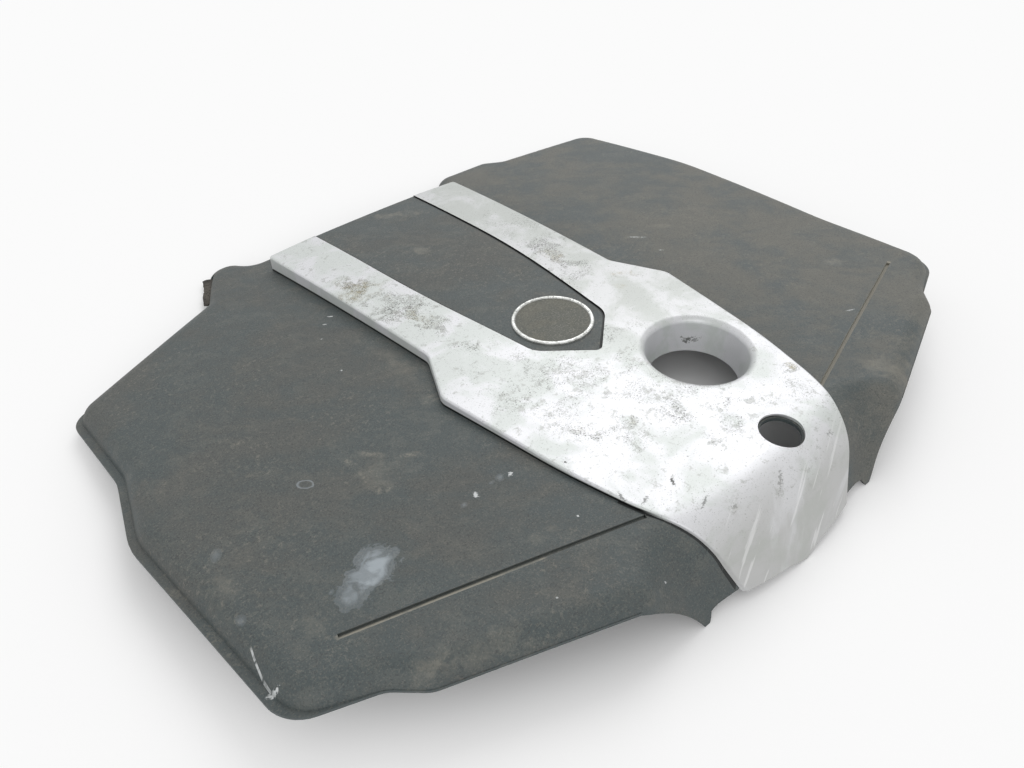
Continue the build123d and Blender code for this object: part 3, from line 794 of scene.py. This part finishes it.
def trim_paint(look):
    """Silver paint with grime specks, oil stains, rubbed smears and fine scratches, with painted shade
    at its foot, in its gaps and on its nose.
    """
    f = Finish("trim_silver_worn")
    up = f.facing_up(0.2, 0.8)
    haze = f.noise(22, detail=5, roughness=0.6, distortion=0.4)
    dull = f.plus(f.step(f.axes["Y"], *DULL_ALONG, end=0.09), haze)
    colour = f.mix(f.step(dull, 0.48, 0.62), look.trim_silver, look.trim_dull)
    flake = f.noise(1500, detail=2, roughness=0.6)
    colour = f.mix(f.step(flake, 0.42, 0.62, end=0.12), colour, FLAKE_GREY)
    smudge, brown, grime, flecks = trim_dirt(f)
    smudge = f.most(smudge, trim_film(f, haze))
    colour = f.mix(f.times(smudge, up), colour, SMUDGE_GREY)
    colour = f.mix(f.times(brown, up), colour, look.trim_brown)
    grime = f.most(f.times(grime, up), flecks)
    colour = f.mix(grime, colour, look.trim_grime)
    # Rubbed smears and painted shade darken the nose towards its front.
    nose = f.step(f.axes["Y"], *NOSE_ALONG)
    rubbed = nose_smears_and_shade(f, nose)
    colour = f.mix(rubbed, colour, NOSE_SMEAR_AND_SHADE_GREY)
    hairs = f.noise(30, detail=3, roughness=0.5, where=f.turned(25, (6, 0.12, 1)))
    hairs = f.times(f.step(hairs, 0.60, 0.65, end=0.40), nose)
    colour = f.mix(hairs, colour, HAIR_WHITE)
    # Painted shade, with dirt at the foot, where the trim meets the shell and in the gap round the
    # centre panel.
    colour = f.mix(f.most(trim_foot_shade_and_dirt(f), trim_gap_shade(f)), colour, GAP_SHADE_BLACK)
    colour = f.mix(f.facing_up(*UNDERSIDE), look.trim_raw, colour)
    f.set(Base_Color=colour, Metallic=0.32, IOR=PLASTIC_IOR)
    matt = f.times(f.most(grime, rubbed), 0.4)
    f.set(Roughness=f.plus(f.step(haze, 0.42, 0.60, start=0.37, end=0.44), matt))
    f.bump(flake, strength=0.05, distance=0.0003)
    return f.material


def trim_film(f, haze):
    """Share of a dull film that is thickest on the right bar."""
    film = f.times(f.step(f.axes["X"], *FILM_ACROSS, end=0.50), f.step(f.axes["Y"], *FILM_ALONG))
    return f.times(film, f.step(haze, 0.40, 0.60, start=0.65, end=1.0))


def nose_smears_and_shade(f, nose):
    """Share of the rubbed smears and painted shade on the nose: streaky all over its forward face,
    fuller towards the front, and thicker in a few patches.
    """
    streaks = f.turned(-30, (1, 3, 1))
    streaks = f.noise(14, detail=5, roughness=0.6, distortion=0.8, where=streaks)
    streaks = f.times(f.step(streaks, 0.44, 0.58, start=0.28, end=0.62), nose)
    patches = f.marks(NOSE_SMEARS, f.ragged(60, reach=0.5), soft=0.9)
    return f.most(streaks, f.times(patches, 0.6))


def trim_foot_shade_and_dirt(f):
    """1 low on the trim's outer wall, just above the shell's domed panels, where painted shade and dirt
    darken the joint.
    """
    across = f.times(f.math("POWER", f.axes["X"], 2.0), PANEL_CROWN_ACROSS)
    behind = f.math("POWER", f.plus(f.axes["Y"], PANEL_CREST), 2.0)
    drop = f.plus(across, f.times(behind, PANEL_CROWN_ALONG))
    height = f.plus(f.minus(f.axes["Z"], PANEL_TOP), drop)
    foot = f.times(f.step(height, *FOOT_HEIGHT), f.step(f.axes["Y"], *FOOT_ALONG))
    return f.times(foot, f.step(f.reach(*FILLER_WELL), 1.0, 1.05))


def trim_gap_shade(f):
    """1 on the trim's upright walls round the centre panel, which are painted dark as the shade of the
    gap they lie in.
    """
    wall = f.minus(1.0, f.facing_up(0.35, 0.60))
    near = f.step(f.size(f.axes["X"]), *GAP_ACROSS)
    behind = f.step(f.axes["Y"], *GAP_ALONG)
    return f.times(wall, f.times(near, behind))


def trim_dirt(f):
    """Shares of soft smudges, of brown oil, of grime in specks and cracks, and of single dark flecks."""
    spread = f.ragged(45, reach=0.6)
    density = f.marks(TRIM_GRIME, spread, soft=0.95)
    cloud = f.noise(130, detail=7, roughness=0.75, distortion=0.4)
    smudge = f.step(f.plus(cloud, f.times(density, 0.10)), 0.562, 0.636, end=0.60)
    fine = f.noise(900, detail=5, roughness=0.70, distortion=0.4)
    specks = f.step(f.plus(fine, f.times(density, 0.11)), 0.606, 0.662, end=0.80)
    crackle = f.noise(150, detail=5, roughness=0.62, distortion=1.4)
    vein = f.step(f.size(f.minus(crackle, 0.5)), 0.006, 0.001)
    broken = f.step(f.noise(75, detail=3), 0.47, 0.56)
    broken = f.times(broken, f.step(density, 0.05, 0.5, end=0.6))
    grime = f.most(specks, f.times(vein, broken))
    flecks = f.marks(TRIM_SPECKS, f.ragged(600, reach=0.6), soft=0.5)
    oil = f.step(f.noise(260, detail=6, roughness=0.75), 0.45, 0.56, start=0.15, end=0.75)
    brown = f.times(f.marks(TRIM_BROWN, spread, soft=1.3), oil)
    return smudge, brown, grime, flecks


def ring_metal(look):
    """Bright plated metal, pitted and dulled."""
    f = Finish("badge_ring_worn")
    pits = f.noise(520, detail=6, roughness=0.75, distortion=0.3)
    dull = f.noise(90, detail=4, roughness=0.6)
    colour = f.mix(f.step(dull, 0.42, 0.58, end=0.6), look.ring_metal, RING_DULL)
    colour = f.mix(f.step(pits, 0.545, 0.580, end=0.55), colour, RING_PIT)
    f.set(Base_Color=colour, Metallic=0.85)
    f.set(Roughness=f.step(pits, 0.44, 0.56, start=0.32, end=0.55))
    f.bump(pits, strength=0.15, distance=0.0003)
    return f.material


def badge_plastic(look):
    """Dull dark plastic with dust caught on a fine stipple."""
    f = Finish("badge_face_dusty")
    stipple = f.noise(800, detail=3, roughness=0.65)
    film = f.noise(38, detail=5, roughness=0.65, distortion=0.5)
    colour = f.mix(f.step(film, 0.43, 0.60, end=0.5), look.badge_face, BADGE_FILM)
    colour = f.mix(f.step(stipple, 0.53, 0.63, end=0.5), colour, BADGE_DUST)
    colour = f.mix(f.step(stipple, 0.46, 0.38, end=0.5), colour, BADGE_PIT)
    f.set(Base_Color=colour, IOR=PLASTIC_IOR)
    f.set(Roughness=f.step(film, 0.3, 0.7, start=0.45, end=0.62))
    f.bump(stipple, strength=0.25, distance=0.0003)
    return f.material


def mount_rubber(look):
    """Matt black rubber with a faint bloom."""
    f = Finish("mount_rubber_matt")
    bloom = f.noise(160, detail=5, roughness=0.65)
    colour = f.mix(f.step(bloom, 0.45, 0.75, end=0.5), look.mount_rubber, RUBBER_BLOOM)
    f.set(Base_Color=colour)
    f.set(Roughness=f.step(bloom, 0.3, 0.7, start=0.70, end=0.88))
    f.bump(f.noise(900, detail=3, roughness=0.6), strength=0.2, distance=0.0003)
    return f.material


def foam_cells(look):
    """Open foam with dark cells and dust on the ridges."""
    f = Finish("foam_open_cells")
    inputs = {"Vector": f.place, "Scale": FOAM_CELLS_PER_METRE}
    cells = f.add("ShaderNodeTexVoronoi", inputs).outputs["Distance"]
    soot = f.noise(35, detail=5, roughness=0.65, distortion=0.4)
    colour = f.mix(f.step(soot, 0.40, 0.70), look.foam_brown, FOAM_RIDGE)
    colour = f.mix(f.step(cells, 0.42, 0.12, end=0.75), colour, FOAM_CELL)
    f.set(Base_Color=colour, Roughness=0.95, Specular_IOR_Level=0.2)
    f.bump(cells, strength=0.6, distance=0.0009)
    return f.material


def dress(material, *nodes):
    """Gives CAD nodes one finish."""
    for name in nodes:
        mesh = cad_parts[name].data
        mesh.materials.clear()
        mesh.materials.append(material)


class EngineCoverShell(bpy.types.Operator):
    """Finishes the moulded shell"""

    bl_idname = "engine_cover.shell"
    bl_label = "Shell finish"

    def execute(self, context):
        dress(shell_plastic(context.scene.engine_cover_finish), "cover_shell")
        return {"FINISHED"}


class EngineCoverTrim(bpy.types.Operator):
    """Finishes the silver trim"""

    bl_idname = "engine_cover.trim"
    bl_label = "Trim finish"

    def execute(self, context):
        dress(trim_paint(context.scene.engine_cover_finish), "silver_trim")
        return {"FINISHED"}


class EngineCoverBadge(bpy.types.Operator):
    """Finishes the plain badge's ring and disc"""

    bl_idname = "engine_cover.badge"
    bl_label = "Badge finish"

    def execute(self, context):
        look = context.scene.engine_cover_finish
        dress(ring_metal(look), "badge_ring")
        dress(badge_plastic(look), "badge_disc")
        return {"FINISHED"}


class EngineCoverMounts(bpy.types.Operator):
    """Finishes the four rubber mounts"""

    bl_idname = "engine_cover.mounts"
    bl_label = "Rubber mounts finish"

    def execute(self, context):
        names = [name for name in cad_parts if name.startswith("rubber_mount_")]
        if len(names) != MOUNT_COUNT:
            raise RuntimeError(f"the frame has {len(names)} rubber mounts and not {MOUNT_COUNT}")
        dress(mount_rubber(context.scene.engine_cover_finish), *names)
        return {"FINISHED"}


class EngineCoverFoamMats(bpy.types.Operator):
    """Makes the two lumpy foam mats in place of their plain solids"""

    bl_idname = "engine_cover.foam_mats"
    bl_label = "Foam mats"

    def execute(self, context):
        sizes = context.scene.engine_cover_foam
        finish = foam_cells(context.scene.engine_cover_finish)
        for side in ("left", "right"):
            mat = self.mat(context, side, sizes)
            mat.data.materials.clear()
            mat.data.materials.append(finish)
            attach(mat, "root")
            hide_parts(f"foam_mat_{side}")
        return {"FINISHED"}

    def mat(self, context, side, sizes):
        """One mat: its solid rebuilt in small cells, its cut edges eased and its face lumpy."""
        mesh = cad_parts[f"foam_mat_{side}"].data.copy()
        mesh.name = f"foam_{side}"
        bm = bmesh.new()
        bm.from_mesh(mesh)
        bmesh.ops.remove_doubles(bm, verts=bm.verts, dist=MERGE_DISTANCE)
        bm.to_mesh(mesh)
        bm.free()
        mat = bpy.data.objects.new(f"foam_{side}", mesh)
        context.scene.collection.objects.link(mat)
        rebuilt = mat.modifiers.new("cells", "REMESH")
        rebuilt.mode = "VOXEL"
        rebuilt.voxel_size = sizes.cell
        eased = mat.modifiers.new("eased", "SMOOTH")
        eased.factor = EASE_FACTOR
        eased.iterations = sizes.smoothing
        self.hollow(mat, "lumps", sizes.lump, sizes.sink)
        self.hollow(mat, "pits", sizes.lump / PITS_PER_LUMP, sizes.pit)
        graph = context.evaluated_depsgraph_get()
        shaped = bpy.data.meshes.new_from_object(mat.evaluated_get(graph))
        mat.modifiers.clear()
        mat.data = shaped
        for face in shaped.polygons:
            face.use_smooth = True
        if not len(shaped.polygons):
            raise RuntimeError(f"foam_{side} came out empty")
        return mat

    def hollow(self, mat, name, width, depth):
        """Sinks hollows of that width into the mat, so that it never grows past its solid."""
        pattern = bpy.data.textures.new(f"{mat.name}_{name}", "CLOUDS")
        pattern.noise_scale = width
        pattern.noise_depth = HOLLOW_DETAIL
        sunk = mat.modifiers.new(name, "DISPLACE")
        sunk.texture = pattern
        sunk.texture_coords = "LOCAL"
        sunk.strength = depth
        sunk.mid_level = 1.0


def seen_rays(tree):
    """1 for the rays of the eye, of gloss and of glass, to which the backdrop is white."""
    rays = tree.nodes.new("ShaderNodeLightPath").outputs
    total = rays["Is Camera Ray"]
    for kind in ("Is Glossy Ray", "Is Transmission Ray"):
        node = tree.nodes.new("ShaderNodeMath")
        node.operation = "MAXIMUM"
        tree.links.new(total, node.inputs[0])
        tree.links.new(rays[kind], node.inputs[1])
        total = node.outputs[0]
    return total


class EngineCoverStageSet(bpy.types.Operator):
    """Sets the camera, the lamps and the floor"""

    bl_idname = "engine_cover.stage"
    bl_label = "Stage"

    def execute(self, context):
        scene, stage = context.scene, context.scene.engine_cover_stage
        scene.view_settings.view_transform = "Standard"
        self.camera(scene, stage)
        self.floor(scene, stage)
        self.sky(scene, stage)
        self.lamp(scene, "window", stage.window_strength, stage.lamp_angle, stage.window_aim)
        self.lamp(scene, "fill", stage.fill_strength, stage.lamp_angle, stage.fill_aim)
        return {"FINISHED"}

    def camera(self, scene, stage):
        lens = bpy.data.cameras.new("camera")
        lens.lens = stage.lens
        lens.sensor_width = SENSOR_WIDTH
        lens.clip_start = NEAR_CLIP
        camera = bpy.data.objects.new("camera", lens)
        camera.location = stage.camera_place
        camera.rotation_mode = "QUATERNION"
        camera.rotation_quaternion = Vector(stage.camera_aim).to_track_quat("-Z", "Y")
        scene.collection.objects.link(camera)
        scene.camera = camera

    def floor(self, scene, stage):
        bm = bmesh.new()
        bmesh.ops.create_grid(bm, x_segments=1, y_segments=1, size=FLOOR_HALF_SIZE)
        mesh = bpy.data.meshes.new("floor")
        bm.to_mesh(mesh)
        bm.free()
        floor = bpy.data.objects.new("floor", mesh)
        floor.location.z = -FLOOR_DROP
        scene.collection.objects.link(floor)
        mesh.materials.append(self.floor_paint(stage))

    def floor_paint(self, stage):
        """A pale floor that is lifted towards white round the cover, for the eye and for gloss: painted
        light that fades the cover's shadow there.
        """
        f = Finish("floor_pale")
        f.set(Base_Color=stage.floor_colour, Roughness=0.9, Specular_IOR_Level=0.0)
        half_length, half_width, _ = CAD_BOX[1]
        out = f.reach(0, 0, half_length, half_width, 0)
        share = f.times(seen_rays(f.tree), f.step(out, *GLOW_REACH, end=stage.floor_glow))
        glow = f.add("ShaderNodeEmission", {"Color": (1, 1, 1), "Strength": 1.0})
        shaders = {0: share, 1: f.shader.outputs[0], 2: glow.outputs[0]}
        both = f.add("ShaderNodeMixShader", shaders)
        output = f.tree.nodes["Material Output"]
        f.tree.links.new(both.outputs[0], output.inputs["Surface"])
        return f.material

    def sky(self, scene, stage):
        """Even light from all round, whose backdrop is white."""
        world = bpy.data.worlds.new("sky")
        scene.world = world
        world.use_nodes = True
        tree = world.node_tree
        light = tree.nodes["Background"]
        light.inputs["Color"].default_value = (1, 1, 1, 1)
        level = tree.nodes.new("ShaderNodeMapRange")
        tree.links.new(seen_rays(tree), level.inputs["Value"])
        level.inputs["To Min"].default_value = stage.sky_strength
        level.inputs["To Max"].default_value = 1.0
        tree.links.new(level.outputs["Result"], light.inputs["Strength"])

    def lamp(self, scene, name, strength, angle, aim):
        light = bpy.data.lights.new(name, "SUN")
        light.energy = strength
        light.angle = angle
        lamp = bpy.data.objects.new(name, light)
        lamp.rotation_mode = "QUATERNION"
        lamp.rotation_quaternion = Vector(aim).to_track_quat("-Z", "Y")
        scene.collection.objects.link(lamp)


SETTINGS = {
    "engine_cover_finish": EngineCoverFinish,
    "engine_cover_foam": EngineCoverFoam,
    "engine_cover_stage": EngineCoverStage,
}
STEPS = (
    EngineCoverShell,
    EngineCoverTrim,
    EngineCoverBadge,
    EngineCoverMounts,
    EngineCoverFoamMats,
    EngineCoverStageSet,
)


class EngineCoverPanel(bpy.types.Panel):
    """Lists the steps that finish the cover, and their settings."""

    bl_idname = "VIEW3D_PT_engine_cover"
    bl_label = "Engine cover"
    bl_space_type = "VIEW_3D"
    bl_region_type = "UI"
    bl_category = "Engine cover"

    def draw(self, context):
        for step in STEPS:
            self.layout.operator(step.bl_idname)
        for group in SETTINGS:
            settings = getattr(context.scene, group)
            for name in settings.bl_rna.properties.keys():
                if name not in ("rna_type", "name"):
                    self.layout.prop(settings, name)


def register():
    for cls in (*SETTINGS.values(), *STEPS, EngineCoverPanel):
        bpy.utils.register_class(cls)
    for name, cls in SETTINGS.items():
        setattr(bpy.types.Scene, name, PointerProperty(type=cls))


def unregister():
    for name in SETTINGS:
        delattr(bpy.types.Scene, name)
    for cls in (EngineCoverPanel, *reversed(STEPS), *reversed(SETTINGS.values())):
        bpy.utils.unregister_class(cls)


def main():
    register()
    bpy.ops.engine_cover.shell()
    bpy.ops.engine_cover.trim()
    bpy.ops.engine_cover.badge()
    bpy.ops.engine_cover.mounts()
    bpy.ops.engine_cover.foam_mats()
    bpy.ops.engine_cover.stage()


if __name__ == "__main__":
    main()
